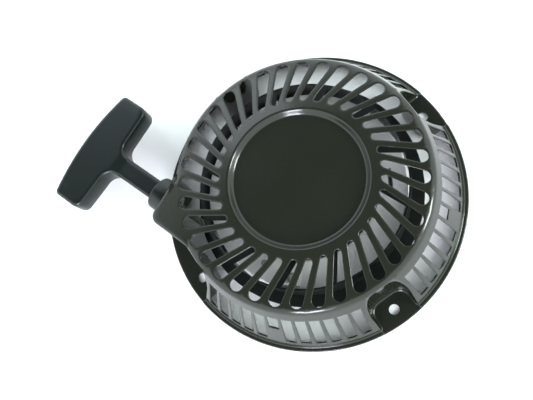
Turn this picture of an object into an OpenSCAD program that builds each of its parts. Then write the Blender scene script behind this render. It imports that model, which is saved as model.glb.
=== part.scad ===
// Recoil starter for a small vertical-shaft engine.
// Millimetres. Origin on the crank axis, in the plane of the mounting flange; +Z points out through
// the cover, and the rope is pulled along -X.

/* [Cover] */
// Outer radius of the mounting flange
flange_r = 105; // [104:0.5:107]
// Thickness of the pressed sheet
sheet_t = 1.5; // [1.2:0.1:1.8]
// Height of the slotted plate beside the dish
plate_h = 54; // [53:0.5:55]
// Height of the slotted plate where its shoulder starts to turn down
plate_edge_h = 46.8; // [46:0.2:47.4]
// Radius of that corner, before it is rounded
plate_edge_r = 83.5; // [83:0.1:84]
// Rounding radius of the shoulder
shoulder_r = 6; // [4:0.5:7]
// Radius where the skirt meets the flange
skirt_foot_r = 102.2; // [101.5:0.1:102.8]
// Height of the rolled flange edge
flange_h = 3; // [2.5:0.5:3.5]
// Radius of the flat floor of the centre dish
dish_r = 42; // [40:0.5:43]
// Depth of the centre dish
dish_depth = 3.6; // [3:0.2:4]

/* [Cooling slots] */
// Number of slots in the plate
slot_count = 36; // [30:1:36]
// Radius of the inner end's centre
slot_in_r = 54; // [53:0.5:56]
// Radius of the outer end's centre
slot_out_r = 76.9; // [75:0.1:77]
// Width at the inner end
slot_in_w = 4.5; // [4:0.1:5]
// Width at the outer end
slot_out_w = 8; // [7:0.1:8.2]
// Angle that a slot falls back between its inner and outer end
slot_sweep = 8.3; // [6:0.1:10]
// Angle of the first slot's inner end
slot_phase = 2; // [0:0.5:10]
// Pitch of the windows in the skirt, in degrees
window_pitch = 5.8; // [5.7:0.05:5.85]
// Width of a window
window_w = 6.6; // [5.5:0.1:6.8]
// Height of a window's lower and upper end
window_z = [8.5, 36.5]; // [5:0.5:40]
// Height of the lower end of the short window
short_window_z = 24; // [20:0.5:28]

/* [Mounting ears] */
// Angle of the first ear; the others follow at 90 degrees
ear_angle = 70; // [68:0.5:71]
// Radius of the bolt circle
bolt_circle_r = 94.5; // [94:0.1:95]
// Radius of a bolt hole
bolt_hole_r = 3.5; // [3:0.1:3.75]
// Half the width of the pocket over an ear
ear_half_w = 14.5; // [13.5:0.1:15]
// Radius of the pocket's inner wall
ear_in_r = 84.5; // [84:0.1:85]
// Corner radius of the pocket
ear_corner_r = 9; // [6:0.5:10]

/* [Rope outlet] */
// Distance of the rope's line of pull from the crank axis
rope_line = 57.5; // [57:0.1:58]
// Height of the rope's line of pull
rope_z = 20; // [19.5:0.1:20.5]
// Rope diameter
rope_d = 4.5; // [4:0.1:4.6]
// Distance of the outlet's flat face from the crank axis
outlet_x = 74; // [73.5:0.1:74.5]
// Distance of the outlet's long side from the crank axis
outlet_y = 76; // [75.5:0.1:76.5]
// Height of the outlet's top
outlet_h = 43.5; // [43:0.1:43.5]
// Distance of the side of the recess before the outlet from the crank axis
recess_y = 43.5; // [43:0.1:44]

/* [Pulley] */
// Radius of the pulley's flanges
pulley_r = 66; // [65:0.1:66.2]
// Radius of the groove's floor
groove_r = 45.9; // [45:0.1:46]
// Width of the groove
groove_w = 9.4; // [9.3:0.1:9.6]
// Thickness of the upper flange
pulley_flange_t = 2.3; // [2:0.1:2.5]
// Radius of the hub where it drives the spring
hub_r = 12; // [11:0.1:12.2]
// Radius of the centre post
post_r = 7; // [6.5:0.1:7]

/* [Spring and shroud] */
// Radius of the spring cup
cup_r = 42; // [41:0.1:42]
// Turns of the mainspring
spring_turns = 8; // [6:1:9]
// Height of the mainspring's strip
spring_h = 10; // [8:0.5:10]
// Outer radius of the shroud's wall
shroud_r = 69; // [69:0.1:70]
// Height of the shroud's spokes
shroud_h = 39; // [38.6:0.1:39.4]
// Number of spokes
spoke_count = 12; // [8:1:12]
// Radius of the base flange round the shroud
shroud_base_r = 77; // [74:0.5:80]

/* [Pawls] */
// Radius of the circle that the pawl pins stand on
pawl_pin_circle = 26; // [25:0.5:26.5]
// Radius of a pawl pin
pawl_pin_r = 2.5; // [2:0.1:2.6]
// Angle that a pawl swings out
pawl_swing = 35; // [30:1:36]
// Angle that the drive plate turns to swing it
plate_turn = 30; // [25:1:32]

/* [Handle] */
// Length of the grip's bar
grip_len = 86; // [80:1:92]
// Thickness of the grip
grip_t = 18; // [16:0.5:19]
// Distance of the bar's inner edge from the crank axis
grip_in_x = 129.5; // [127:0.5:131]
// Depth of the bar at its ends
grip_depth = 23.5; // [22:0.5:25]
// How far the outer edge bows out in the middle
grip_bow = 5; // [3:0.5:6]
// Width of the stem
stem_w = 14.5; // [14:0.1:16]
// Radius of the collar
collar_r = 12; // [11.5:0.1:12.3]

/* [Hidden] */
$fn = 96;
eps = 0.01;
black_paint = [0.11, 0.12, 0.12];
zinc = [0.70, 0.71, 0.72];
nylon = [0.88, 0.89, 0.86];
rope_white = [0.86, 0.86, 0.82];
grip_grey = [0.20, 0.22, 0.22];

// --- the cover's profile, outside face ---
dish_lip_r = dish_r + 4;
dish_h = plate_h - dish_depth + 0.1;
plate_in_r = 48;
plate_slope = atan2(plate_h - plate_edge_h, plate_edge_r - plate_in_r);
skirt_lean = atan2(skirt_foot_r - plate_edge_r, plate_edge_h - flange_h);
function plate_z(r) = plate_h - (r - plate_in_r) * tan(plate_slope);
function skirt_r(z) = plate_edge_r + (plate_edge_h - z) * tan(skirt_lean);
shoulder_turn = 90 - skirt_lean - plate_slope;
shoulder_dir = -plate_slope - shoulder_turn / 2 - 90;
shoulder_c = [plate_edge_r, plate_edge_h]
    + shoulder_r / cos(shoulder_turn / 2) * [cos(shoulder_dir), sin(shoulder_dir)];
function arc_points(c, r, a0, a1, n) =
    [for (i = [0:n]) c + r * [cos(a0 + (a1 - a0) * i / n), sin(a0 + (a1 - a0) * i / n)]];
skirt_wall = sheet_t / cos(skirt_lean);
plate_wall = sheet_t / cos(plate_slope);

// --- heights inside ---
groove_low = rope_z - groove_w / 2;
groove_top = rope_z + groove_w / 2;
pulley_low = groove_low - 2;
pulley_top = groove_top + pulley_flange_t;
cup_top = dish_h - sheet_t;
rim_t = 1.2;
cup_rim_low = shroud_h - 2 * rim_t;
cover_low = cup_rim_low - rim_t;
rivet_circle = 46.5;
rivet_r = 1.6;
shroud_base_z = 16;
coil_pitch = rope_d + 0.1;
bush_r = post_r + 2;
post_low = 12.2;
pawl_low = 7.3;
pawl_top = 12.3;
drive_top = 6.8;
drive_low = 4.8;
peg_arm = 7;
peg_r = 1.5;
pawl_rest = 62;

// --- handle places, along -X ---
collar_x = outlet_x + 1.8;
collar_len = 13.2;
stem_x = collar_x + collar_len;
fillet_r = 8.5;
knot_x = 149;

module ear_plan(off) {
    half = ear_half_w + off;
    low = ear_in_r - off;
    corner = ear_corner_r + off;
    polygon(concat([[120, half]],
        arc_points([low + corner, half - corner], corner, 90, 180, 6),
        arc_points([low + corner, corner - half], corner, 180, 270, 6), [[120, -half]]));
}

// plan of everything that is pressed down to the flange: four ears, and the ground round the outlet
module pocket_plan(off) {
    for (i = [0:3]) rotate(ear_angle + 90 * i) ear_plan(off);
    translate([-outlet_x - 60 + off, -120]) square([60, 120 - recess_y + off]);
    difference() {
        translate([-outlet_x - 5, -120 - outlet_y + off]) square([outlet_x - 21, 120]);
        circle(r = ear_in_r - off);
    }
}

module outlet_plan(off) {
    corner = 7 - off;
    low = [-outlet_x + off, -outlet_y + off];
    polygon(concat([[low[0], -recess_y - off]], arc_points(low + [corner, corner], corner, 180, 270, 6),
        [[-24, low[1]], [-24, -recess_y - off]]));
}

module cover_solid_outside() {
    rotate_extrude($fn = 180) polygon(concat(
        [[0, 0], [flange_r, 0]],
        arc_points([flange_r - 1, flange_h - 1], 1, 0, 90, 3),
        [[skirt_r(flange_h), flange_h]],
        arc_points(shoulder_c, shoulder_r, skirt_lean, 90 - plate_slope, 5),
        [[dish_lip_r, plate_z(dish_lip_r)], [dish_r, dish_h], [0, dish_h]]));
}

module cover_solid_inside() {
    foot = flange_h - sheet_t;
    rotate_extrude($fn = 180) polygon(concat(
        [[0, -1], [flange_r - sheet_t, -1], [flange_r - sheet_t, foot]],
        [[skirt_r(foot) - skirt_wall, foot]],
        arc_points(shoulder_c, shoulder_r - sheet_t, skirt_lean, 90 - plate_slope, 5),
        [[dish_lip_r - 0.6, plate_z(dish_lip_r - 0.6) - plate_wall], [dish_r - 0.6, cup_top],
        [0, cup_top]]));
}

module cover_shell() {
    difference() {
        union() {
            difference() {
                cover_solid_outside();
                translate([0, 0, sheet_t]) linear_extrude(60) pocket_plan(0);
            }
            linear_extrude(outlet_h) outlet_plan(0);
        }
        difference() {
            cover_solid_inside();
            translate([0, 0, -2]) linear_extrude(62) pocket_plan(sheet_t);
        }
        translate([0, 0, -1]) linear_extrude(outlet_h - sheet_t + 1) outlet_plan(sheet_t);
    }
}

// one plate slot in plan: a taper with a round end at each side
module slot_plan() {
    a = slot_in_r * [1, 0];
    b = slot_out_r * [cos(slot_sweep), -sin(slot_sweep)];
    run = norm(b - a);
    lean = asin((slot_out_w - slot_in_w) / 2 / run);
    translate(a) rotate(atan2(b[1], b[0] - a[0]))
        polygon(concat(arc_points([0, 0], slot_in_w / 2, 90 + lean, 270 - lean, 6),
            arc_points([run, 0], slot_out_w / 2, -90 - lean, 90 + lean, 8)));
}

module skirt_window(low, high) {
    mid = (low + high) / 2;
    translate([skirt_r(mid), 0, mid]) rotate([0, -skirt_lean, 0])
        cube([12, window_w, (high - low) / cos(skirt_lean)], center = true);
}

module housing() {
    first = 45 - 5.5 * window_pitch;
    color(black_paint) difference() {
        cover_shell();
        for (i = [0:slot_count - 1]) rotate(slot_phase + i * 360 / slot_count)
            translate([0, 0, 42]) linear_extrude(16) slot_plan();
        for (q = [0:3], k = [0:(q == 1 ? 5 : 11)])
            rotate(ear_angle + 90 * q + first + window_pitch * k)
                skirt_window(k == 5 ? short_window_z : window_z[0], window_z[1]);
        for (i = [0:3]) rotate(ear_angle + 90 * i)
            translate([bolt_circle_r, 0, -1]) cylinder(r = bolt_hole_r, h = 4);
        translate([-outlet_x - 5, -rope_line, rope_z]) rotate([0, 90, 0]) cylinder(r = 5.5, h = 10);
    }
}

// flanged bush that the rope runs through
module rope_eyelet() {
    color(zinc) translate([-outlet_x - 1.2, -rope_line, rope_z]) rotate([0, 90, 0]) difference() {
        union() {
            cylinder(r = 8, h = 1.2);
            cylinder(r = 5.45, h = 4.2);
            translate([0, 0, 1.2 + sheet_t]) cylinder(r = 7, h = 1.2);
        }
        translate([0, 0, -1]) cylinder(r = 3.2, h = 8);
    }
}

// pressed ring round the pulley: spokes on top, a wall, and a narrow flange round its foot
module inner_shroud() {
    spoke_out = [shroud_r - 0.6, 21.7];
    spoke_in = [49, 29.7];
    color(black_paint) difference() {
        union() {
            rotate_extrude($fn = 120) polygon([[shroud_r - rim_t, shroud_base_z - rim_t],
                [shroud_base_r, shroud_base_z - rim_t], [shroud_base_r, shroud_base_z],
                [shroud_r, shroud_base_z], [shroud_r, shroud_h], [shroud_r - rim_t, shroud_h]]);
            translate([0, 0, shroud_h - rim_t]) linear_extrude(rim_t) {
                difference() {
                    circle(r = 50);
                    circle(r = cup_r + 0.3);
                }
                for (i = [0:spoke_count - 1]) rotate(i * 360 / spoke_count) {
                    a = spoke_in[0] * [cos(spoke_in[1]), sin(spoke_in[1])];
                    b = spoke_out[0] * [cos(spoke_out[1]), sin(spoke_out[1])];
                    side = [a[1] - b[1], b[0] - a[0]] / norm(b - a);
                    polygon([a + 2 * side, b + 2.2 * side, b - 2.2 * side, a - 2 * side]);
                }
            }
        }
        rivet_holes();
        translate([0, 0, 10]) linear_extrude(10) pocket_plan(sheet_t + 0.8);
        translate([-outlet_x - 35, -rope_line - 9, 10]) cube([40, 18, 10]);
        translate([-52, -rope_line - 7, shroud_base_z + 0.5]) cube([32, 14, 11]);
    }
}

module rivet_holes() {
    for (i = [0:5]) rotate(60 * i) translate([rivet_circle, 0, cover_low - 1])
        cylinder(r = rivet_r + 0.05, h = 3 * rim_t + 2, $fn = 32);
}

module spring_cup() {
    color(zinc) difference() {
        rotate_extrude() polygon([[post_r, cup_top], [cup_r, cup_top], [cup_r, cup_rim_low + rim_t],
            [50, cup_rim_low + rim_t], [50, cup_rim_low], [cup_r - rim_t, cup_rim_low],
            [cup_r - rim_t, cup_top - rim_t], [post_r, cup_top - rim_t]]);
        rivet_holes();
    }
}

module spring_cover() {
    color(zinc) difference() {
        translate([0, 0, cover_low]) cylinder(r = 50, h = rim_t);
        translate([0, 0, cover_low - 1]) cylinder(r = hub_r + 0.6, h = 4);
        rivet_holes();
    }
}

module cup_rivets() {
    color(zinc) for (i = [0:5]) rotate(60 * i) translate([rivet_circle, 0, 0]) {
        translate([0, 0, cover_low - 0.9]) cylinder(r = 2.8, h = 0.9, $fn = 32);
        translate([0, 0, cover_low - 0.1]) cylinder(r = rivet_r, h = 3 * rim_t + 0.2, $fn = 32);
        translate([0, 0, shroud_h]) cylinder(r = 2.8, h = 0.9, $fn = 32);
    }
}

// flat strip wound in a spiral from the hub out to the cup's wall
module mainspring() {
    steps = 24 * spring_turns;
    function coil_r(i) = hub_r + 1 + (cup_r - rim_t - 1.5 - hub_r - 1) * i / steps;
    function edge(i, off) = (coil_r(i) + off) * [cos(15 * i), sin(15 * i)];
    color([0.30, 0.33, 0.38]) translate([0, 0, cup_rim_low + 0.5]) linear_extrude(spring_h)
        polygon(concat([for (i = [0:steps]) edge(i, 0.45)], [for (i = [steps:-1:0]) edge(i, -0.45)]));
}

module centre_post() {
    color(zinc) difference() {
        translate([0, 0, post_low]) cylinder(r = post_r, h = cup_top - post_low);
        translate([0, 0, post_low - 1]) cylinder(r = 3, h = 21);
    }
}

module centre_screw() {
    color(zinc) difference() {
        union() {
            translate([0, 0, 1.2]) cylinder(r = 6.2, h = 2.6);
            translate([0, 0, 3.7]) cylinder(r = 4.5, h = post_low - 3.7);
            translate([0, 0, post_low - 0.1]) cylinder(r = 2.95, h = 16);
        }
        translate([0, 0, 0.2]) cylinder(r = 3, h = 2.4, $fn = 6);
    }
}

module thrust_washer() {
    color(zinc) translate([0, 0, 11.4]) difference() {
        cylinder(r = 11, h = 0.8);
        translate([0, 0, -1]) cylinder(r = 4.6, h = 3);
    }
}

// wave ring that drags on the drive plate
module brake_spring() {
    color(zinc) translate([0, 0, 7.4]) difference() {
        cylinder(r = 9, h = 3.2);
        translate([0, 0, -1]) cylinder(r = 7.8, h = 6);
    }
}

module rope_run(x0, x1) {
    translate([-x1, -rope_line, rope_z]) rotate([0, 90, 0]) cylinder(d = rope_d, h = x1 - x0, $fn = 32);
}

module rope_lead() {
    color(rope_white) rope_run(0, collar_x + 2);
}

// moulded drum: flanged groove outside, a cup for the web inside, and the hub that winds the spring
module pulley() {
    wall = groove_r - 2.6;
    knot_a = 297;
    color(nylon) difference() {
        union() {
            rotate_extrude($fn = 120) polygon([[bush_r, pulley_low], [pulley_r, pulley_low],
                [pulley_r, groove_low], [groove_r, groove_low], [groove_r, groove_top],
                [pulley_r, groove_top], [pulley_r, pulley_top], [wall, pulley_top],
                [wall, pulley_low + 3], [hub_r + 3, pulley_low + 3], [hub_r + 3, cover_low - 0.8],
                [hub_r, cover_low - 0.8], [hub_r, cup_top - 3], [bush_r, cup_top - 3]]);
            for (i = [0:7]) rotate(45 * i + 10) translate([hub_r + 2, -1, pulley_low + 2])
                cube([wall - hub_r - 1, 2, 11]);
            rotate(knot_a) translate([60, 0, pulley_top - 0.5]) translate([-5, -5.5, 0])
                cube([10, 11, 4]);
        }
        rotate(knot_a) translate([56.5, -4, pulley_top - 0.4]) cube([7, 8, 6]);
        rotate(knot_a) translate([57.5, -7, pulley_top]) cube([5, 7, 6]);
        rotate(277) translate([56, 0, groove_top - 1]) cylinder(r = rope_d / 2 + 0.4, h = 6, $fn = 32);
        translate([0, 0, groove_top - 1]) rotate(29) rotate_extrude(angle = 18, $fn = 120)
            translate([54, 0]) square([3, 6]);
        for (i = [0, 1]) rotate(180 * i) translate([pawl_pin_circle, 0, pulley_low - 1])
            cylinder(r = pawl_pin_r, h = 5, $fn = 32);
    }
}

module pulley_bush() {
    color([0.62, 0.50, 0.28]) difference() {
        translate([0, 0, pulley_low]) cylinder(r = bush_r, h = 30);
        translate([0, 0, pulley_low - 1]) cylinder(r = post_r + 0.05, h = 40);
    }
}

// the wound turns: two layers of two, and one lying between them outside
module rope_coil() {
    color(rope_white) {
        for (layer = [0, 1], s = [-1, 1])
            translate([0, 0, rope_z + s * coil_pitch / 2])
                rotate_extrude($fn = 120) translate([rope_line - (2 - layer) * coil_pitch, 0])
                    circle(d = rope_d, $fn = 24);
        translate([0, 0, rope_z]) rotate(-90) rotate_extrude(angle = 335, $fn = 120)
            translate([rope_line, 0]) circle(d = rope_d, $fn = 24);
    }
}

module rope_knot() {
    color(rope_white) rotate(297) translate([60, 0, pulley_top + 2.9]) sphere(r = 3.1, $fn = 32);
    color(rope_white) rotate(277) translate([56, 0, pulley_top - 1.5])
        cylinder(d = rope_d, h = 4.5, $fn = 32);
}

module pawl_pins() {
    color(zinc) for (i = [0, 1]) rotate(180 * i) translate([pawl_pin_circle, 0, 0]) {
        translate([0, 0, drive_top + 0.3]) cylinder(r = pawl_pin_r, h = pulley_low + 3.2 - drive_top, $fn = 32);
    }
}

module pawl_springs() {
    color(zinc) for (i = [0, 1]) rotate(180 * i) translate([pawl_pin_circle, 0, pawl_top + 0.15])
        difference() {
            cylinder(r = 3.5, h = 0.75, $fn = 32);
            translate([0, 0, -1]) cylinder(r = pawl_pin_r + 0.1, h = 3, $fn = 32);
        }
}

// one pawl about its own pin: a hub, an arm with a square nose, and the peg that the plate moves
module pawl() {
    difference() {
        rotate(pawl_rest) translate([0, 0, pawl_low]) linear_extrude(pawl_top - pawl_low)
            polygon(concat(arc_points([0, 0], 5, 37, 307, 12), [[15, -4], [15, 5], [10, 5], [10, 3]]));
        translate([0, 0, pawl_low - 1]) cylinder(r = pawl_pin_r + 0.05, h = 8, $fn = 32);
    }
    rotate(pawl_rest) translate([peg_arm, 0, drive_low]) cylinder(r = peg_r, h = 2.8, $fn = 32);
}

module pawl_a() {
    color(zinc) translate([pawl_pin_circle, 0, 0]) pawl();
}

module pawl_b() {
    color(zinc) rotate(180) translate([pawl_pin_circle, 0, 0]) pawl();
}

// plate whose two cam slots follow the pegs as it lags behind the pulley
module drive_plate() {
    steps = 24;
    function peg_at(t) = [pawl_pin_circle + peg_arm * cos(pawl_rest + pawl_swing * t),
        peg_arm * sin(pawl_rest + pawl_swing * t)];
    color(zinc) difference() {
        union() {
            translate([0, 0, drive_low]) cylinder(r = 29, h = drive_top - drive_low);
            for (i = [0, 1]) rotate(180 * i + 10) translate([0, -9, drive_low])
                cube([33, 18, drive_top - drive_low]);
        }
        translate([0, 0, drive_low - 1]) cylinder(r = 4.55, h = 6);
        for (i = [0, 1], s = [0:steps]) rotate(180 * i - plate_turn * s / steps)
            translate(concat(peg_at(s / steps), drive_low - 1)) cylinder(r = peg_r + 0.4, h = 5, $fn = 32);
    }
}

// plan of the grip, drawn along -X from the stem's end: bowed bar, two root fillets and the stem
module grip_plan() {
    half = grip_len / 2;
    bow_r = (half * half + grip_bow * grip_bow) / (2 * grip_bow);
    end = [grip_in_x + grip_depth, half];
    bow = asin(half / bow_r);
    root = stem_w / 2 + fillet_r;
    corner = 5;
    polygon(concat(
        arc_points([end[0] - bow_r * cos(bow), 0], bow_r, bow, -bow, 12),
        arc_points([grip_in_x + corner, corner - half], corner, 270, 180, 4),
        arc_points([grip_in_x - fillet_r, -root], fillet_r, 0, 90, 5),
        [[stem_x, -stem_w / 2], [stem_x, stem_w / 2]],
        arc_points([grip_in_x - fillet_r, root], fillet_r, 270, 360, 5),
        arc_points([grip_in_x + corner, half - corner], corner, 180, 90, 4)));
}

module handle_grip() {
    color(grip_grey) translate([0, -rope_line, rope_z]) mirror([1, 0, 0]) difference() {
        union() {
            translate([0, 0, -grip_t / 2]) linear_extrude(grip_t) intersection() {
                grip_plan();
                translate([grip_in_x - 8, -60]) square([60, 120]);
            }
            translate([0, 0, -stem_w / 2]) linear_extrude(stem_w) grip_plan();
        }
        translate([stem_x - 1, 0, 0]) rotate([0, 90, 0]) cylinder(r = rope_d / 2 + 0.4, h = 80);
        translate([knot_x - 4, 0, 0]) rotate([0, 90, 0]) cylinder(r = 6, h = 40);
    }
}

module handle_collar() {
    color(grip_grey) translate([-stem_x, -rope_line, rope_z]) rotate([0, 90, 0]) difference() {
        union() {
            cylinder(r1 = collar_r - 1, r2 = collar_r, h = 1);
            translate([0, 0, 1]) cylinder(r = collar_r, h = collar_len - 2);
            translate([0, 0, collar_len - 1]) cylinder(r1 = collar_r, r2 = collar_r - 1, h = 1);
        }
        translate([0, 0, -1]) cylinder(r = rope_d / 2 + 0.4, h = 20);
    }
}

module handle_washer() {
    color(zinc) translate([-knot_x + 2.6, -rope_line, rope_z]) rotate([0, 90, 0]) difference() {
        cylinder(r = 5.8, h = 1.4);
        translate([0, 0, -1]) cylinder(r = rope_d / 2 + 0.2, h = 4);
    }
}

module rope_tail() {
    color(rope_white) rope_run(collar_x + 2, knot_x - 2.6);
}

module handle_knot() {
    color(rope_white) translate([-knot_x - 2, -rope_line, rope_z]) sphere(r = 4.4, $fn = 32);
}

housing();
rope_eyelet();
inner_shroud();
spring_cup();
spring_cover();
cup_rivets();
mainspring();
centre_post();
centre_screw();
thrust_washer();
brake_spring();
rope_lead();
pulley();
pulley_bush();
rope_coil();
rope_knot();
pawl_pins();
pawl_springs();
pawl_a();
pawl_b();
drive_plate();
handle_grip();
handle_collar();
handle_washer();
rope_tail();
handle_knot();
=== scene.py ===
import bmesh
import bpy
import numpy as np
from mathutils import Euler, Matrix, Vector


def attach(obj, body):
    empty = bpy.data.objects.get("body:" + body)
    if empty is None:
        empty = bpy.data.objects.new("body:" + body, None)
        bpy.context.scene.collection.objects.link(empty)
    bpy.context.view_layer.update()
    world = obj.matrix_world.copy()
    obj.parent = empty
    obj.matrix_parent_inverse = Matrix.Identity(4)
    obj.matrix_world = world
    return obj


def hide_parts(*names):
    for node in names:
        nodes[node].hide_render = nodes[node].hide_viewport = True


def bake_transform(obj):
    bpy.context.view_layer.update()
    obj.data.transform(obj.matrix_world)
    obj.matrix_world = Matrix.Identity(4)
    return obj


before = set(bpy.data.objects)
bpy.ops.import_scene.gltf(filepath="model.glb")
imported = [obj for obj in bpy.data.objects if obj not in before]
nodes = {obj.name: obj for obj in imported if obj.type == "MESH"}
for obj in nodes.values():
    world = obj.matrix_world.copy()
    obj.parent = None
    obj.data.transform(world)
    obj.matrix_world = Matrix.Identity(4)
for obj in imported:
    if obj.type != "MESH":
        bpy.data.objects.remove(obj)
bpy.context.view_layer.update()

# Camera: a short tele lens above the starter, a little off the crank axis, with the rope pulled to
# the lower left of the picture.
camera_data = bpy.data.cameras.new("camera")
camera_data.sensor_width = 36.0
camera_data.lens = 47.28
camera = bpy.data.objects.new("camera", camera_data)
camera.location = (0.13289, -0.05221, 0.46761)
camera.rotation_euler = Euler(np.radians((14.111, 13.221, 35.844)))
bpy.context.scene.collection.objects.link(camera)
bpy.context.scene.camera = camera

# Cover sheet: one pressing of 1.5 mm steel with a sunk centre dish, a slotted plate that falls away to
# a rounded shoulder, a windowed skirt, four bolt ears pressed down to the flange, and a raised outlet
# for the rope. It is drawn, pierced and then painted gloss black.
MM = 0.001
SHEET = 1.5
EARS = (70.0, 160.0, 250.0, 340.0)
SLOTS = 36
SLOT_IN = np.array([54.0, 0.0])
SLOT_SWEEP = np.radians(8.3)
SLOT_OUT = 76.9 * np.array([np.cos(SLOT_SWEEP), -np.sin(SLOT_SWEEP)])
SLOT_IN_R, SLOT_OUT_R = 2.2, 4.0
SLOT_PHASE = 2.0
JOIN_IN, PLATE_OUT, SKIRT_IN, RIM_IN, RIM_R = 49.4, 83.0, 83.6, 104.0, 105.0
SKIRT_TOP, SKIRT_FOOT = np.array([83.5, 46.8]), np.array([102.2, 3.0])
WINDOW_HALF, WINDOW_TOP, WINDOW_LOW, WINDOW_SHORT = 3.3, 36.5, 8.5, 24.0


def rounded_profile(corners, radii, steps=10):
    """A polyline (r, z) whose inner corners are replaced by arcs tangent to both sides."""
    out = [np.array(corners[0], float)[None]]
    for before, corner, after, radius in zip(corners, corners[1:], corners[2:], radii):
        corner = np.array(corner, float)
        u = np.array(before) - corner
        v = np.array(after) - corner
        u, v = u / np.linalg.norm(u), v / np.linalg.norm(v)
        half = np.arccos(np.clip(u @ v, -1, 1)) / 2
        middle = corner + (u + v) / np.linalg.norm(u + v) * radius / np.sin(half)
        t = np.linspace(0, 1, steps)[:, None]
        a = corner + u * radius / np.tan(half) - middle
        b = corner + v * radius / np.tan(half) - middle
        turn = np.pi - 2 * half
        out.append(middle + (np.sin((1 - t) * turn) * a + np.sin(t * turn) * b) / np.sin(turn))
    out.append(np.array(corners[-1], float)[None])
    return np.vstack(out)


COVER_PROFILE = rounded_profile(
    [(0, 50.4), (42.6, 50.4), (45.7, 54.3), tuple(SKIRT_TOP), tuple(SKIRT_FOOT), (110, 3.0)],
    [1.6, 1.5, 6.0, 1.4],
)


def cover_height(radius):
    """Height of the turned surface over the flange plane, from the rounded profile."""
    return np.interp(radius, COVER_PROFILE[:, 0], COVER_PROFILE[:, 1])


def sheet_height(x, y):
    """Height over any place: the turned surface, or the plate carried on over the rope outlet's block."""
    radius = np.hypot(x, y)
    fade = 0.25 * np.maximum(0, y + 46) ** 2 + np.maximum(0, -74 - x) ** 2
    fade = fade + 0.3 * np.maximum(0, x + 40) ** 2
    block = SKIRT_TOP[1] + (SKIRT_TOP[0] - radius) * 0.1984 - fade
    return np.maximum(cover_height(radius), block)


def polar(radius, angle, z):
    """Points from radius, angle in radians and height."""
    radius, angle, z = np.broadcast_arrays(radius, angle, z)
    return np.stack([radius * np.cos(angle), radius * np.sin(angle), z], -1)


def turned(points, degrees):
    """Points turned about the crank axis."""
    a = np.radians(degrees)
    x, y = points[..., 0], points[..., 1]
    return np.stack([x * np.cos(a) - y * np.sin(a), x * np.sin(a) + y * np.cos(a), points[..., 2]], -1)


def grid_faces(rows, cols, first=0, close=False):
    """Quads of a rows by cols grid of points, the last column joined to the first if it closes."""
    i = np.arange(rows - 1)[:, None]
    j = np.arange(cols if close else cols - 1)[None, :]
    k = (j + 1) % cols
    quads = np.stack([i * cols + j, i * cols + k, (i + 1) * cols + k, (i + 1) * cols + j], -1)
    return quads.reshape(-1, 4) + first


def roll_off(distance, width, depth):
    """Drop of a pierced edge: a quarter ellipse that starts width away from the edge."""
    t = np.clip(1 - distance / width, 0, 1)
    return depth * (1 - np.sqrt(1 - t * t))


sheet_points, sheet_faces = [], []


def add_patch(points, faces):
    """Adds a patch of points and faces to the sheet."""
    start = sum(len(p) for p in sheet_points)
    sheet_points.append(points.reshape(-1, 3))
    sheet_faces.extend((np.asarray(faces) + start).tolist())


def add_grid(points, close=False):
    """Adds a grid (rows, cols, 3) to the sheet."""
    add_patch(points, grid_faces(points.shape[0], points.shape[1], close=close))


# plate: 36 like cells, each a ring of rows from a slot's outline out to the cell's border
def slot_loop(grow):
    """Outline of a slot grown by that much: two arcs joined by their tangents, run clockwise."""
    run = np.linalg.norm(SLOT_OUT - SLOT_IN)
    along = (SLOT_OUT - SLOT_IN) / run
    across = np.array([-along[1], along[0]])
    lean = np.arcsin((SLOT_OUT_R - SLOT_IN_R) / run)
    a = np.linspace(np.pi / 2 + lean, 3 * np.pi / 2 - lean, 7)
    b = np.linspace(-np.pi / 2 - lean, np.pi / 2 + lean, 11)
    inner = np.stack([np.cos(a), np.sin(a)], -1) * (SLOT_IN_R + grow)
    outer = np.stack([np.cos(b), np.sin(b)], -1) * (SLOT_OUT_R + grow) + [run, 0]
    t = np.linspace(0, 1, 10)[1:-1, None]
    right = inner[-1] * (1 - t) + outer[0] * t
    left = outer[-1] * (1 - t) + inner[0] * t
    loop = np.vstack([inner, right, outer, left])
    return SLOT_IN + loop[:, :1] * along + loop[:, 1:] * across


def slot_line_angle(radius):
    """Angle at which the slot's centre line crosses a radius."""
    along = (SLOT_OUT - SLOT_IN) / np.linalg.norm(SLOT_OUT - SLOT_IN)
    b = SLOT_IN @ along
    s = -b + np.sqrt(b * b - SLOT_IN @ SLOT_IN + radius * radius)
    p = SLOT_IN + np.multiply.outer(s, along)
    return np.arctan2(p[..., 1], p[..., 0])


def cell_loop():
    """Border of a cell, point for point with the slot's outline."""
    half = np.pi / SLOTS
    t = np.linspace(0, 1, 10)[1:-1]
    radius = np.concatenate([np.full(7, JOIN_IN), JOIN_IN + (PLATE_OUT - JOIN_IN) * t,
                             np.full(11, PLATE_OUT), PLATE_OUT + (JOIN_IN - PLATE_OUT) * t])
    side = np.concatenate([np.linspace(half, -half, 7), np.full(8, -half),
                           np.linspace(-half, half, 11), np.full(8, half)])
    angle = slot_line_angle(radius) + side
    return np.stack([radius * np.cos(angle), radius * np.sin(angle)], -1)


LIP_W, LIP_D = 0.9, 0.6
lip_steps = np.array([0.0, 0.08, 0.25, 0.5, LIP_W])
lips = np.array([slot_loop(g) for g in lip_steps])
border = cell_loop()
shares = np.array([0.3, 0.65, 1.0])[:, None, None]
plan = np.concatenate([lips, lips[-1:] * (1 - shares) + border[None] * shares])
drop = np.zeros(plan.shape[:2])
drop[: len(lip_steps)] = roll_off(lip_steps, LIP_W, LIP_D)[:, None]
flat_cell = np.concatenate([plan, drop[..., None]], -1)


def plate_cell(k):
    """A cell turned to its place and raised to the plate."""
    points = turned(flat_cell, SLOT_PHASE + k * 360 / SLOTS)
    points[..., 2] = sheet_height(points[..., 0], points[..., 1]) - points[..., 2]
    return points


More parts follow.
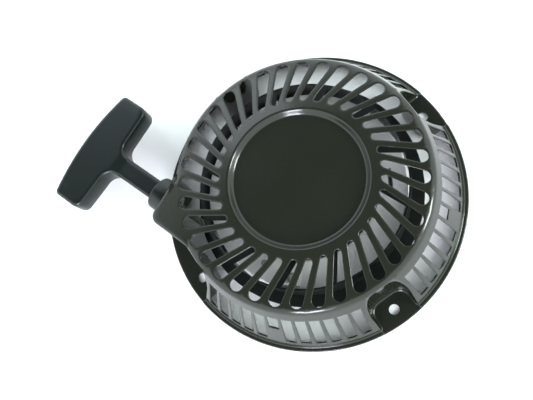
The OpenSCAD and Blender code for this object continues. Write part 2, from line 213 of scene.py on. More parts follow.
cells = [plate_cell(k) for k in range(SLOTS)]
for cell in cells:
    add_grid(cell, close=True)
ring_plate_in = np.concatenate([cell[-1, :6] for cell in cells])
ring_plate_out = np.concatenate([cell[-1, 15:25] for cell in cells])


def angle_of(p):
    """Angle of each point about the crank axis, from 0 to a full turn."""
    return np.arctan2(p[:, 1], p[:, 0]) % (2 * np.pi)


def by_angle(ring):
    """A ring's points sorted by angle."""
    return ring[np.argsort(angle_of(ring))]


# dish: rings of the turned profile inside the plate, closed at the pole
ring = by_angle(ring_plate_in)
angles = np.arctan2(ring[:, 1], ring[:, 0])
dish_r = np.array([4, 12, 20, 28, 35, 39, 40.6, 41.2, 41.6, 42.0, 42.4, 42.9, 43.5, 44.1, 44.6, 45.0,
                   45.4, 45.8, 46.2, 46.6, 47.2, 48.2, JOIN_IN])
add_grid(polar(dish_r[:, None], angles[None], cover_height(dish_r)[:, None]), close=True)
hub = np.vstack([[[0, 0, cover_height(0)]], polar(4.0, angles, cover_height(4.0))])
n = len(angles)
spokes = np.arange(n)
add_patch(hub, np.stack([np.zeros(n, int), 1 + spokes, 1 + (spokes + 1) % n], -1))

# skirt: columns of cells with a window in each; the sheet's edge rolls in round every window
lean = np.arctan2(SKIRT_FOOT[0] - SKIRT_TOP[0], SKIRT_TOP[1] - SKIRT_FOOT[1])


def skirt_radius(z):
    """Radius of the straight part of the skirt at a height."""
    return SKIRT_TOP[0] + (SKIRT_TOP[1] - z) * np.tan(lean)


ROWS = np.array([83.6, 84.0, 84.4, 84.8, 85.3, 86.0, 86.8, 87.35, 87.6, 87.75, 87.85, 87.9,
                 89.2, 90.8, 92.3, 92.75, 93.0, 93.1, 93.2,
                 93.25, 93.35, 93.5, 93.75, 95.3, 97.0, 98.6, 99.85,
                 99.9, 100.0, 100.15, 100.4, 101.0, 101.6, 102.0, 102.4, 102.8, 103.3, RIM_IN])
ROWS[11] = skirt_radius(WINDOW_TOP)
ROWS[18] = skirt_radius(WINDOW_SHORT)
ROWS[26] = skirt_radius(WINDOW_LOW)
EDGE_W, EDGE_D = 0.75, 0.5


def rim_patch(row):
    """From a row of points on the rim's inner circle, the rolled edge down to the flange plane."""
    a = np.radians([0, 25, 50, 70, 90])
    angle = np.arctan2(row[:, 1], row[:, 0])
    fall = np.minimum(1.0, 0.7 * row[:, 2])
    radius = RIM_IN + np.sin(a)[:, None] + 0 * angle[None]
    z = row[None, :, 2] - (1 - np.cos(a))[:, None] * fall[None]
    points = polar(radius, angle[None], z)
    foot = points[-1:].copy()
    foot[..., 2] = 0
    return np.concatenate([points, foot])


ring_skirt = []


def skirt_cell(left, right, centre, short, slant=0.0):
    """One column between two angles, with a window at centre; slant moves its right side lower down."""
    right_row = np.radians(right) - np.radians(slant) * np.clip((ROWS - 94.0) / 4.0, 0, 1)
    c = np.radians(centre)
    low, high = ROWS * np.sin(np.radians(left) - c), ROWS * np.sin(right_row - c)
    marks = np.array([-4.0, -3.65, -3.4, -WINDOW_HALF, 0.0, WINDOW_HALF, 3.4, 3.65, 4.0])
    across = np.concatenate([low[:, None], np.repeat(marks[None], len(ROWS), 0), high[:, None]], 1)
    radius = np.repeat(ROWS[:, None], across.shape[1], 1)
    bottom = ROWS[18] if short else ROWS[26]
    along = np.maximum(np.maximum(ROWS[11] - radius, radius - bottom), 0) / np.sin(lean)
    away = np.hypot(np.maximum(abs(across) - WINDOW_HALF, 0), along)
    sink = roll_off(away, EDGE_W, EDGE_D)
    angle = c + np.arcsin(across / radius)
    points = polar(radius - sink * np.cos(lean), angle, cover_height(radius) - sink * np.sin(lean))
    faces = grid_faces(*across.shape).reshape(len(ROWS) - 1, across.shape[1] - 1, 4)
    keep = np.ones(faces.shape[:2], bool)
    keep[11 : (18 if short else 26), 4:6] = False
    add_patch(points, faces[keep])
    add_grid(rim_patch(points[-1]))
    ring_skirt.append(points[0])


EAR_HALF_ANGLE = 10.2
PITCH, FIRST_WINDOW, OUTLET_SLANT = 5.8, 13.1, 2.6
for q, ear in enumerate(EARS):
    last = 5 if q == 1 else 11
    for k in range(last + 1):
        mid = ear + FIRST_WINDOW + PITCH * k
        left = ear + EAR_HALF_ANGLE if k == 0 else mid - PITCH / 2
        right = ear + 90 - EAR_HALF_ANGLE if k == 11 else mid + PITCH / 2
        skirt_cell(left, right, mid, k == 5, OUTLET_SLANT if q == 1 and k == 5 else 0.0)


# ears and outlet: a wall carried along the pocket's outline, the floor inside it, and the skirt outside
def arc(cx, cy, radius, a0, a1, n):
    """Points of an arc whose radius may differ from point to point of the cross-section."""
    a = np.radians(np.linspace(a0, a1, n))[:, None]
    return np.stack([cx + radius * np.cos(a), cy + radius * np.sin(a)], -1)


EAR_HALF, EAR_IN, EAR_CORNER, EAR_FLOOR = 14.5, 84.5, 9.0, 1.5
HUB_X, HUB_Y = EAR_IN + EAR_CORNER, EAR_HALF - EAR_CORNER
EAR_INNER, EAR_TOUCH = 16, 6.94


def ear_side(d):
    """Half of an ear's outline on the +Y side, a point per row: round its corner, then out along x.

    Each point lies at its row's radius: on the corner's arc (hub + r (cos a, sin a)), or on the side.
    """
    target = np.where(ROWS < 86, 84.9 + (ROWS - SKIRT_IN) * 1.1 / 2.4, ROWS)[:, None]
    hub = np.hypot(HUB_X, HUB_Y)
    share = (target**2 - hub**2 - EAR_CORNER**2) / (2 * EAR_CORNER * hub)
    a = np.arctan2(HUB_Y, HUB_X) + np.arccos(np.clip(share, -1, 1))
    straight = np.sqrt(np.maximum(target**2 - EAR_HALF**2, 0))
    reach = np.sqrt(RIM_IN**2 - (EAR_HALF + d) ** 2) - HUB_X
    reach = reach / (np.sqrt(RIM_IN**2 - EAR_HALF**2) - HUB_X)
    on_side = straight >= HUB_X
    x = np.where(on_side, HUB_X + (straight - HUB_X) * reach, HUB_X + (EAR_CORNER + d) * np.cos(a))
    y = np.where(on_side, EAR_HALF + d, HUB_Y + (EAR_CORNER + d) * np.sin(a))
    return np.stack([x, y], -1)


def ear_inner(d, y0):
    """Inner part of an ear's outline through the heights y0: a line with the start of both corners."""
    past = np.clip(np.abs(y0) - HUB_Y, 0, None)[:, None]
    a = np.arcsin(past / EAR_CORNER)
    x = HUB_X - (EAR_CORNER + d) * np.cos(a)
    y = np.where(past > 0, HUB_Y + (EAR_CORNER + d) * np.sin(a), np.abs(y0)[:, None] + 0 * d)
    return np.stack([x, y * np.sign(y0)[:, None]], -1)


def ear_outline(d):
    """Outline of an ear's pocket about the +X axis, moved outwards by d (points, sections)."""
    n = len(ROWS)
    right = ear_side(d[:n][::-1]) * [1, -1]
    middle = ear_inner(d[n:-n], np.linspace(-EAR_TOUCH, EAR_TOUCH, EAR_INNER + 2)[1:-1])
    return np.concatenate([right[::-1], middle, ear_side(d[-n:])])


EAR_COUNT = 2 * len(ROWS) + EAR_INNER
OUT_X, OUT_Y, RECESS_Y, RECESS_R, OUT_R = -74.0, -76.0, -43.5, 6.0, 7.0
EAR_AXIS = np.array([np.cos(np.radians(250)), np.sin(np.radians(250))])
OUT_LINE, OUT_LONG, OUT_EAR = 8, 14, 12


def outlet_outline(d):
    """Outline from the recess before the outlet round its corner and along its side to the last ear."""
    n = len(ROWS)
    x0, foot = OUT_X - RECESS_R, np.hypot(OUT_X - RECESS_R, RECESS_Y)
    start = -np.sqrt(RIM_IN**2 - (RECESS_Y + d[:n]) ** 2)
    row = ROWS[::-1, None]
    t = np.clip((RIM_IN - row) / (RIM_IN - foot), 0, 1)
    a = np.radians(90 - 90 * np.clip((foot - row) / (foot - SKIRT_IN), 0, 1))
    x = np.where(t < 1, start * (1 - t) + x0 * t, x0 + (RECESS_R + d[:n]) * np.cos(a))
    y = np.where(t < 1, RECESS_Y + d[:n], RECESS_Y - RECESS_R + (RECESS_R + d[:n]) * np.sin(a))
    parts = [np.stack([x, y], -1)]
    at = n
    y = np.linspace(RECESS_Y - RECESS_R, OUT_Y + OUT_R, OUT_LINE + 2)[1:-1, None]
    parts.append(np.stack([OUT_X + d[at : at + OUT_LINE], y + 0 * d[at : at + OUT_LINE]], -1))
    at += OUT_LINE
    parts.append(arc(OUT_X + OUT_R, OUT_Y + OUT_R, OUT_R - d[at : at + 11], 180, 270, 11))
    at += 11
    d1 = d[at : at + OUT_LONG]
    y1 = OUT_Y + d1
    meet = (EAR_IN - d1 - EAR_AXIS[1] * y1) / EAR_AXIS[0]
    t = np.linspace(0, 1, OUT_LONG + 1)[1:, None]
    parts.append(np.stack([(OUT_X + OUT_R) * (1 - t) + meet * t, y1], -1))
    at += OUT_LONG
    d2 = d[at : at + OUT_EAR]
    y2 = OUT_Y + d2
    meet = (EAR_IN - d2 - EAR_AXIS[1] * y2) / EAR_AXIS[0]
    side = -EAR_AXIS[1] * meet + EAR_AXIS[0] * y2
    t = np.linspace(0, 1, OUT_EAR + 2)[1:-1]
    local = ear_inner(d2, side[0, 0] * (1 - t) + EAR_TOUCH * t)
    local[..., 1] += (side - side[0, 0]) * (1 - t)[:, None]
    local = np.concatenate([local, ear_side(d[-n:])])
    x, y = local[..., 0], local[..., 1]
    parts.append(np.stack([x * EAR_AXIS[0] - y * EAR_AXIS[1], x * EAR_AXIS[1] + y * EAR_AXIS[0]], -1))
    return np.concatenate(parts)


def ear_top(x, y):
    """Height of the sheet outside an ear's pocket."""
    return cover_height(np.hypot(x, y))


def pressed_sector(outline, top, radius, left, right, slant):
    """A sector with a pocket pressed down to the ear floor: wall, floor and the sheet round it."""
    n = len(ROWS)
    count = len(radius)
    foot = outline(np.zeros((count, 1)))[:, 0]
    height = top(foot[:, 0], foot[:, 1]) - EAR_FLOOR
    room = 0.85 * (np.linalg.norm(foot, axis=-1) - SKIRT_IN)
    bend = np.minimum(np.minimum(radius, 0.55 * height), 0.75 * room)[:, None]
    fillet = np.minimum(2.2, 0.4 * height)[:, None]
    draft = np.minimum(0.015 * (height[:, None] - bend - fillet), 0.25 * room[:, None])
    a = np.radians(np.linspace(0, 90, 6))[None]
    b = np.linspace(0, 1, 5)[None, 1:-1]
    c = np.radians(np.linspace(0, 90, 9))[None]
    d = np.concatenate([fillet * (np.sin(a) - 1), draft * b, draft + bend * (1 - np.cos(c))], 1)
    plan = outline(d)
    upper = top(plan[..., 0], plan[..., 1])
    z_low = EAR_FLOOR + fillet * (1 - np.cos(a))
    z_high = upper[:, -9:] - bend * (1 - np.sin(c))
    z_wall = z_low[:, -1:] * (1 - b) + z_high[:, :1] * b
    wall = np.concatenate([plan, np.concatenate([z_low, z_wall, z_high], 1)[..., None]], -1)
    add_grid(wall)
    # floor: from the wall's foot to the rim's inner circle
    inner = plan[:, 0]
    turn = np.unwrap(np.arctan2(inner[:, 1], inner[:, 0]))
    rim = np.linspace(turn[0], turn[-1], count)
    edge = RIM_IN * np.stack([np.cos(rim), np.sin(rim)], -1)
    t = np.linspace(0, 1, 6)[None, :, None]
    floor = inner[:, None] * (1 - t) + edge[:, None] * t
    floor = np.concatenate([floor, np.full(floor.shape[:2] + (1,), EAR_FLOOR)], -1)
    add_grid(floor)
    add_grid(rim_patch(floor[:, -1]))
    # sheet outside: from the wall's top to the sector's sides and its inner circle
    outer = plan[:, -1]
    turn = np.unwrap(np.arctan2(outer[:, 1], outer[:, 0]))
    turn = turn + np.round((np.radians((left + right) / 2) - turn.mean()) / (2 * np.pi)) * 2 * np.pi
    way = np.concatenate([[0], np.cumsum(np.linalg.norm(np.diff(outer[n - 1 : -n + 1], axis=0), axis=1))])
    swing = np.maximum.accumulate(turn[n - 1 : -n + 1]) - turn[n - 1]
    tau = (0.5 * way / way[-1] + 0.5 * swing / swing[-1])[1:-1]
    middle = np.radians(left) * (1 - tau) + np.radians(right) * tau
    falls = np.radians(slant) * np.clip((ROWS - 94.0) / 4.0, 0, 1)
    side_angle = np.concatenate([(np.radians(left) - falls)[::-1], middle, np.full(n, np.radians(right))])
    side_r = np.concatenate([ROWS[::-1], np.full(len(middle), SKIRT_IN), ROWS])
    border = np.stack([side_r * np.cos(side_angle), side_r * np.sin(side_angle)], -1)
    t = np.linspace(0, 1, 6)[None, :, None]
    ring_part = outer[:, None] * (1 - t) + border[:, None] * t
    # the first and last columns lie on the rim's inner circle, so they follow it
    for end in (0, -1):
        a0, a1 = np.arctan2(outer[end, 1], outer[end, 0]), np.arctan2(border[end, 1], border[end, 0])
        a1 += np.round((a0 - a1) / (2 * np.pi)) * 2 * np.pi
        way = a0 * (1 - t[0, :, 0]) + a1 * t[0, :, 0]
        ring_part[end] = RIM_IN * np.stack([np.cos(way), np.sin(way)], -1)
    z = top(ring_part[..., 0], ring_part[..., 1])
    around = np.concatenate([ring_part, z[..., None]], -1)
    add_grid(around)
    for end in (0, -1):
        add_grid(rim_patch(around[end]))
        add_grid(rim_patch(wall[end]))
    ring_skirt.append(around[n - 1 : -n + 1, -1])


def ear_at(degrees):
    """Outline and top of an ear turned to its place."""
    a = np.radians(degrees)

    def outline(d):
        p = ear_outline(d)
        return np.stack([p[..., 0] * np.cos(a) - p[..., 1] * np.sin(a),
                         p[..., 0] * np.sin(a) + p[..., 1] * np.cos(a)], -1)

    return outline


for ear in (EARS[0], EARS[1], EARS[3]):
    sides = (ear - EAR_HALF_ANGLE, ear + EAR_HALF_ANGLE)
    pressed_sector(ear_at(ear), ear_top, np.full(EAR_COUNT, 1.6), *sides, 0.0)
n = len(ROWS)
bends = np.concatenate([np.full(n, 1.6), np.full(OUT_LINE + 11, 2.4), np.linspace(2.4, 1.3, OUT_LONG),
                        np.full(OUT_EAR + n, 1.6)])
bends[n - 20 : n] = np.linspace(1.6, 2.4, 20)
sides = (EARS[1] + FIRST_WINDOW + PITCH * 5.5, EARS[2] + EAR_HALF_ANGLE)
pressed_sector(outlet_outline, sheet_height, bends, *sides, OUTLET_SLANT)

# shoulder: a strip of triangles joins the plate's border to the skirt's, whose points differ
upper, lower = by_angle(ring_plate_out), by_angle(np.concatenate(ring_skirt))
step = np.diff(angle_of(lower))
lower = lower[np.concatenate([[True], step > 5e-5])]
order = np.argsort(np.concatenate([angle_of(upper), angle_of(lower)]), kind="stable")
is_upper = order < len(upper)
last_upper = (np.cumsum(is_upper) - is_upper - 1) % len(upper)
last_lower = (np.cumsum(~is_upper) - ~is_upper - 1) % len(lower) + len(upper)
add_patch(np.concatenate([upper, lower]), np.stack([last_upper, last_lower, order], -1))


def make_mesh(name, points, faces, weld=2e-6, outward=None, smooth=40.0):
    """A mesh object from points in millimetres: welded, wound outwards, smooth except at sharp edges."""
    mesh = bpy.data.meshes.new(name)
    mesh.from_pydata((np.asarray(points) * MM).tolist(), [], faces)
    bm = bmesh.new()
    bm.from_mesh(mesh)
    bmesh.ops.remove_doubles(bm, verts=bm.verts, dist=weld)
    bmesh.ops.dissolve_degenerate(bm, edges=bm.edges, dist=1e-7)
    loose = [v for v in bm.verts if not v.link_faces]
    bmesh.ops.delete(bm, geom=loose, context="VERTS")
    bmesh.ops.recalc_face_normals(bm, faces=bm.faces)
    if outward is not None:
        bm.faces.ensure_lookup_table()
        top = max(bm.faces, key=lambda f: f.calc_center_median().dot(outward))
        if top.normal.dot(outward) < 0:
            bmesh.ops.reverse_faces(bm, faces=bm.faces)
    bm.to_mesh(mesh)
    bm.free()
    obj = bpy.data.objects.new(name, mesh)
    bpy.context.scene.collection.objects.link(obj)
    smooth_mesh(mesh, smooth)
    return obj


def smooth_mesh(mesh, degrees):
    """Smooth shading, with sharp edges where faces meet at more than that angle."""
    mesh.shade_smooth()
    mesh.set_sharp_from_angle(angle=np.radians(degrees))


def bake_modifiers(obj, degrees):
    """Replaces the object's mesh by what its modifiers make of it."""
    made = bpy.data.meshes.new_from_object(obj.evaluated_get(bpy.context.evaluated_depsgraph_get()))
    obj.modifiers.clear()
    obj.data = made
    smooth_mesh(made, degrees)


cover = make_mesh("cover_sheet", np.concatenate(sheet_points), sheet_faces, outward=Vector((0, 0, 1)))
wall = cover.modifiers.new("wall", "SOLIDIFY")
wall.thickness = SHEET * MM
wall.offset = -1.0
bake_modifiers(cover, 42)


def tube_points(radius, start, stop, axis, middle, count=64):
    """Points and faces of a closed cylinder along axis 0 or 2 through middle."""
    a = np.linspace(0, 2 * np.pi, count, endpoint=False)
    ring = np.stack([np.cos(a), np.sin(a), 0 * a], -1) * radius
    points = np.concatenate([ring + [0, 0, start], ring + [0, 0, stop]])
    if axis == 0:
        points = points[:, [2, 0, 1]]
    faces = grid_faces(2, count, close=True).tolist()
    faces += [list(range(count))[::-1], list(range(count, 2 * count))]
    return points + middle, faces


cut_points, cut_faces = [], []
BOLT_R, BOLT_CIRCLE_R, ROPE_HOLE_R = 3.5, 94.5, 5.5
holes = [(BOLT_R, -1, 4, 2, polar(BOLT_CIRCLE_R, np.radians(a), 0)) for a in EARS]
for hole in holes + [(ROPE_HOLE_R, -80, -68, 0, (0, -57.5, 20))]:
    more, faces = tube_points(*hole)
    cut_faces += (np.array(faces[:-2]) + 128 * len(cut_points)).tolist()
    cut_faces += [[v + 128 * len(cut_points) for v in f] for f in faces[-2:]]
    cut_points.append(more)
drill = make_mesh("drill", np.concatenate(cut_points), cut_faces)
bore = cover.modifiers.new("bore", "BOOLEAN")
bore.object = drill
bore.solver = "EXACT"
bake_modifiers(cover, 42)
bpy.data.objects.remove(drill)
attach(cover, "cover")
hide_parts("housing")


class Paint:
    """Short way to lay out a node material."""

    def __init__(self, name):
        self.material = bpy.data.materials.new(name)
        self.material.use_nodes = True
        self.nodes = self.material.node_tree.nodes
        self.links = self.material.node_tree.links
        self.shader = self.nodes["Principled BSDF"]
        self.place = self.nodes.new("ShaderNodeTexCoord").outputs["Object"]

    def node(self, kind, inputs=(), **settings):
        """A node with its settings and its inputs, each a value or another node's output."""
        made = self.nodes.new(kind)
        for key, value in settings.items():
            setattr(made, key, value)
        for key, value in dict(inputs).items():
            if isinstance(value, bpy.types.NodeSocket):
                self.links.new(value, made.inputs[key])
            else:
                made.inputs[key].default_value = value
        return made

    def noise(self, scale, detail=3.0, roughness=0.5, place=None):
        """Noise value at a scale in features per metre."""
        made = self.node("ShaderNodeTexNoise", {"Vector": place or self.place, "Scale": scale,
                                                "Detail": detail, "Roughness": roughness})
        return made.outputs["Fac"]

    def ramp(self, value, low, high, a, b):
        """Maps low..high to a..b, clamped."""
        made = self.node("ShaderNodeMapRange", {"Value": value, "From Min": low, "From Max": high,
                                                "To Min": a, "To Max": b})
        return made.outputs["Result"]

    def blend(self, share, a, b):
        """Mixes two colours."""
        made = self.nodes.new("ShaderNodeMix")
        made.data_type = "RGBA"
        for socket, value in ((made.inputs[0], share), (made.inputs[6], a), (made.inputs[7], b)):
            if isinstance(value, bpy.types.NodeSocket):
                self.links.new(value, socket)
            else:
                socket.default_value = value
        return made.outputs[2]

    def bump(self, height, distance, strength=1.0):
        """Bump of a height field, with its depth in metres."""
        made = self.node("ShaderNodeBump", {"Height": height, "Distance": distance, "Strength": strength})
        self.links.new(made.outputs["Normal"], self.shader.inputs["Normal"])

    def set(self, **inputs):
        """Sets the shader's sockets by name, with underscores for spaces."""
        for key, value in inputs.items():
            socket = self.shader.inputs[key.replace("_", " ")]
            if isinstance(value, bpy.types.NodeSocket):
                self.links.new(value, socket)
            else:
                socket.default_value = value
        return self


def dress(material, *objects):
    """Puts one material on whole objects."""
    for obj in objects:
        obj.data.materials.clear()
        obj.data.materials.append(material)


gloss = Paint("gloss_black_paint")
cloud = gloss.noise(28.0, 4.0)
dust = gloss.ramp(gloss.noise(1500.0, 2.0), 0.70, 0.76, 0.0, 1.0)
gloss.set(
    Base_Color=gloss.blend(
        gloss.ramp(dust, 0.0, 1.0, 0.0, 0.25),
        gloss.blend(cloud, (0.0070, 0.0084, 0.0052, 1), (0.0105, 0.0122, 0.0078, 1)),
        (0.05, 0.05, 0.042, 1),
    ),
    Roughness=gloss.ramp(cloud, 0.3, 0.7, 0.12, 0.18),
    Specular_IOR_Level=0.33,
)
gloss.bump(gloss.noise(420.0, 2.0), 0.00003)
dress(gloss.material, cover)


# Grip: a black moulded handle, a bowed bar with a square stem that flares into it through large root
# fillets. Its long edges are rounded, and the rope's knot sits in a pocket in the bar's outer face.
def lathe(profile, count=72):
    """Grid of a profile (radius, height) turned about Z, closed round; the pole rows are welded later."""
    a = np.linspace(0, 2 * np.pi, count, endpoint=False)
    r, h = np.asarray(profile, float).T
    return polar(r[:, None], a[None], h[:, None])


def rounded_loop(corners, radii, steps=5):
    """A closed profile whose corners are arcs; it starts and ends in the middle of its first side."""
    corners = np.asarray(corners, float)
    start = (corners[0] + corners[1]) / 2
    path = [start, *corners[1:], corners[0], start]
    return rounded_profile(path, radii, steps)


ROPE_Y, ROPE_Z, ROPE_R, BORE_R = -57.5, 20.0, 2.25, 2.65
EDGE_R, GRIP_HALF, BAR_HALF, STEM_HALF = 2.8, 43.0, 9.0, 7.25
side_path = rounded_profile(
    [(-158, 0), (-153, GRIP_HALF), (-130, GRIP_HALF), (-128.9, STEM_HALF), (-89, STEM_HALF)],
    [3.2, 6.5, 8.5], 12)
run = np.concatenate([[0], np.cumsum(np.linalg.norm(np.diff(side_path, axis=0), axis=1))])
stations = np.sort(np.concatenate([run, np.arange(1.0, run[-1] - 0.5, 2.0)]))
stations = stations[np.concatenate([[True], np.diff(stations) > 0.12])]
side_path = np.stack([np.interp(stations, run, side_path[:, k]) for k in (0, 1)], -1)
share = side_path[:, 1] / GRIP_HALF
side_path[:, 0] += np.where(side_path[:, 0] < -150, 5 * (share**2 - share), 0)
tangent = np.gradient(side_path, stations, axis=0)
tangent[0], tangent[-1] = (0, 1), (1, 0)
tangent /= np.linalg.norm(tangent, axis=1)[:, None]
inward = np.stack([tangent[:, 1], -tangent[:, 0]], -1)


def half_thickness(x):
    """Half the grip's thickness: that of the bar, eased to the stem's beside the root fillets."""
    t = np.clip((x + 128) / 8, 0, 1)
    return BAR_HALF - (BAR_HALF - STEM_HALF) * t * t * (3 - 2 * t)


turn = np.radians(np.linspace(0, 90, 7))
sweep = np.concatenate([-turn[::-1], turn])
inset = EDGE_R * (1 - np.cos(sweep))
shell = side_path[None] + inset[:, None, None] * inward[None]
level = np.sign(sweep)[:, None] * (half_thickness(shell[..., 0]) - EDGE_R)
level[:7], level[7:] = -abs(level[:7]), abs(level[7:])
level += EDGE_R * np.sin(sweep)[:, None]
flank = np.concatenate([shell, level[..., None]], -1)
across = np.linspace(1, -1, 13)[None, :, None]
mirror = np.array([1, 0, 1]) + np.array([0, 1, 0]) * across
top_face = flank[-1][:, None] * mirror
low_face = flank[0][:, None] * mirror
grip_parts = [flank, flank * [1, -1, 1], top_face, low_face]
grip_points = np.concatenate([part.reshape(-1, 3) for part in grip_parts])
starts = np.cumsum([0] + [part.shape[0] * part.shape[1] for part in grip_parts])
grip_faces = np.concatenate([grid_faces(*part.shape[:2], at) for part, at in zip(grip_parts, starts)])
rows_n, cols_n = flank.shape[:2]
end_one = np.arange(rows_n) * cols_n + cols_n - 1
end_face = list(end_one) + list((end_one + starts[1])[::-1])
handle = make_mesh("grip", grip_points + [0, ROPE_Y, ROPE_Z], grip_faces.tolist() + [end_face], smooth=45)
rope_way = rounded_loop(
    [(0.01, 88), (BORE_R, 88), (BORE_R, 145), (6.0, 145), (6.0, 155.6), (7.6, 158.2), (7.6, 162),
     (0.01, 162)],
    [0.001, 0.3, 0.3, 0.5, 0.6, 0.6, 0.001, 0.001], 4)
pocket = lathe(rope_way, 48)[..., [2, 0, 1]] * [-1, 1, 1]
pocket = make_mesh("pocket", pocket.reshape(-1, 3) + [0, ROPE_Y, ROPE_Z],
                   grid_faces(pocket.shape[0], 48, close=True).tolist(), weld=2e-5)
bore = handle.modifiers.new("pocket", "BOOLEAN")
bore.object = pocket
bore.solver = "EXACT"
bake_modifiers(handle, 45)
bpy.data.objects.remove(pocket)
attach(handle, "handle")
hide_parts("handle_grip")

# Collar: a separate moulded plastic ring with rounded edges, threaded on the rope. It bears on the end of
# the grip's stem and faces the eyelet in the outlet.
collar_loop = rounded_loop([(BORE_R, 75.8), (12, 75.8), (12, 89), (BORE_R, 89)], [1.3, 1.3, 0.4, 0.4], 7)
ring = lathe(collar_loop, 96)
ring = ring[..., [2, 0, 1]] * [-1, 1, 1] + [0, ROPE_Y, ROPE_Z]
collar_faces = grid_faces(ring.shape[0], 96, close=True).tolist()
collar = make_mesh("collar", ring.reshape(-1, 3), collar_faces, smooth=45)
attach(collar, "handle")
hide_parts("handle_collar")

grip = Paint("moulded_grip")
mottle = grip.noise(55.0, 4.0)
rub = grip.ramp(grip.noise(260.0, 3.0), 0.60, 0.72, 0.0, 1.0)
grip.set(
    Base_Color=grip.blend(mottle, (0.0025, 0.0045, 0.0042, 1), (0.0045, 0.0072, 0.0068, 1)),
    Roughness=grip.ramp(rub, 0.0, 1.0, 0.28, 0.38),
    Specular_IOR_Level=0.30,
)
grip.bump(grip.noise(1400.0, 2.0), 0.00005, 0.7)
dress(grip.material, handle, collar)


# Rope: a braided cord, light grey with a dark fleck. Two layers of two turns and one more lie in the
# pulley's groove; it leaves them along -X, runs through the eyelet and the stem, and ends in a knot.
def cord_mesh(name, path, radius, closed=False, sides=20):
    """A round cord along a path, with its seam at v = 0 and u in turns of its own girth."""
    path = np.asarray(path, float)
    ahead, behind = np.roll(path, -1, 0), np.roll(path, 1, 0)
    if not closed:
        ahead[-1], behind[0] = path[-1], path[0]
    along = ahead - behind
    along /= np.linalg.norm(along, axis=1)[:, None]
    side = np.cross(along, (0.02, 0.03, 1.0))
    side /= np.linalg.norm(side, axis=1)[:, None]
    up = np.cross(side, along)
    a = np.linspace(0, 2 * np.pi, sides, endpoint=False)
    out = np.cos(a)[None, :, None] * side[:, None] + np.sin(a)[None, :, None] * up[:, None]
    rings = path[:, None] + radius * out
    count = len(path)
    if closed:
        rings = np.concatenate([rings, rings[:1]])
        path = np.concatenate([path, path[:1]])
    steps = np.linalg.norm(np.diff(path, axis=0), axis=1)
    length = np.concatenate([[0], np.cumsum(steps)]) / (2 * np.pi * radius)
    if closed:
        length *= round(length[-1]) / length[-1]
    i, j = np.meshgrid(np.arange(len(path) - 1), np.arange(sides), indexing="ij")
    here, ahead_row, beside = i * sides, ((i + 1) % count) * sides, (j + 1) % sides
    quads = np.stack([here + j, here + beside, ahead_row + beside, ahead_row + j], -1).reshape(-1, 4)
    u = np.stack([length[i], length[i], length[i + 1], length[i + 1]], -1).reshape(-1)
    v = (np.stack([j, j + 1, j + 1, j], -1) / sides).reshape(-1)
    faces = quads.tolist()
    if not closed:
        faces += [list(range(sides))[::-1], list(range((count - 1) * sides, count * sides))]
        u, v = np.append(u, np.zeros(2 * sides)), np.append(v, np.zeros(2 * sides))
    mesh = bpy.data.meshes.new(name)
    mesh.from_pydata((rings[:count].reshape(-1, 3) * MM).tolist(), [], faces)
    layer = mesh.uv_layers.new(name="lay")
    layer.data.foreach_set("uv", np.stack([u, v], -1).reshape(-1))
    bm = bmesh.new()
    bm.from_mesh(mesh)
    bmesh.ops.recalc_face_normals(bm, faces=bm.faces)
    bm.to_mesh(mesh)
    bm.free()
    made = bpy.data.objects.new(name, mesh)
    bpy.context.scene.collection.objects.link(made)
    smooth_mesh(mesh, 50)
    return made


def straight(x0, x1, step=1.0):
    """Points along the rope's line of pull."""
    x = np.linspace(x0, x1, int(abs(x1 - x0) / step) + 2)
    return np.stack([x, 0 * x + ROPE_Y, 0 * x + ROPE_Z], -1)


def knot_path(middle, size, axis):
    """A trefoil knot: (sin t + 2 sin 2t, cos t - 2 cos 2t, -sin 3t), its flat side along an axis."""
    t = np.linspace(0, 2 * np.pi, 120, endpoint=False)
    p = np.stack([np.sin(t) + 2 * np.sin(2 * t), np.cos(t) - 2 * np.cos(2 * t), -1.1 * np.sin(3 * t)], -1)
    return np.roll(p, 1 - axis if axis == 0 else 0, axis=1) * size + middle


ropes = []
lead = cord_mesh("rope_out", straight(0, -77.8), ROPE_R)
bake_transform(lead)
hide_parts("rope_lead")
ropes.append(lead)
tail = cord_mesh("rope_in_grip", straight(-77.8, -146.4), ROPE_R)
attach(tail, "handle")
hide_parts("rope_tail")
ropes.append(tail)
stop_knot = cord_mesh("stop_knot", knot_path((-151, ROPE_Y, ROPE_Z), 0.85, 0), 1.8, closed=True)
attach(stop_knot, "handle")
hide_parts("handle_knot")
ropes.append(stop_knot)
around = np.linspace(0, 2 * np.pi, 150, endpoint=False)
COIL_PITCH = 4.7
wound = []
for layer, height in ((1, -0.5), (1, 0.5), (2, -0.5), (2, 0.5)):
    radius = -ROPE_Y - (3 - layer) * COIL_PITCH
    ring_path = polar(radius, around, ROPE_Z + height * COIL_PITCH)
    name = "turn_%d_%d" % (layer, 1 if height > 0 else 0)
    wound.append(cord_mesh(name, ring_path, ROPE_R - 0.02, closed=True))
outer = np.radians(np.linspace(-90, 245, 150))
wound.append(cord_mesh("outer_turn", polar(-ROPE_Y, outer, ROPE_Z + 0 * outer), ROPE_R - 0.02))
for piece in wound:
    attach(piece, "pulley")
    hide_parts("rope_coil")
ropes += wound

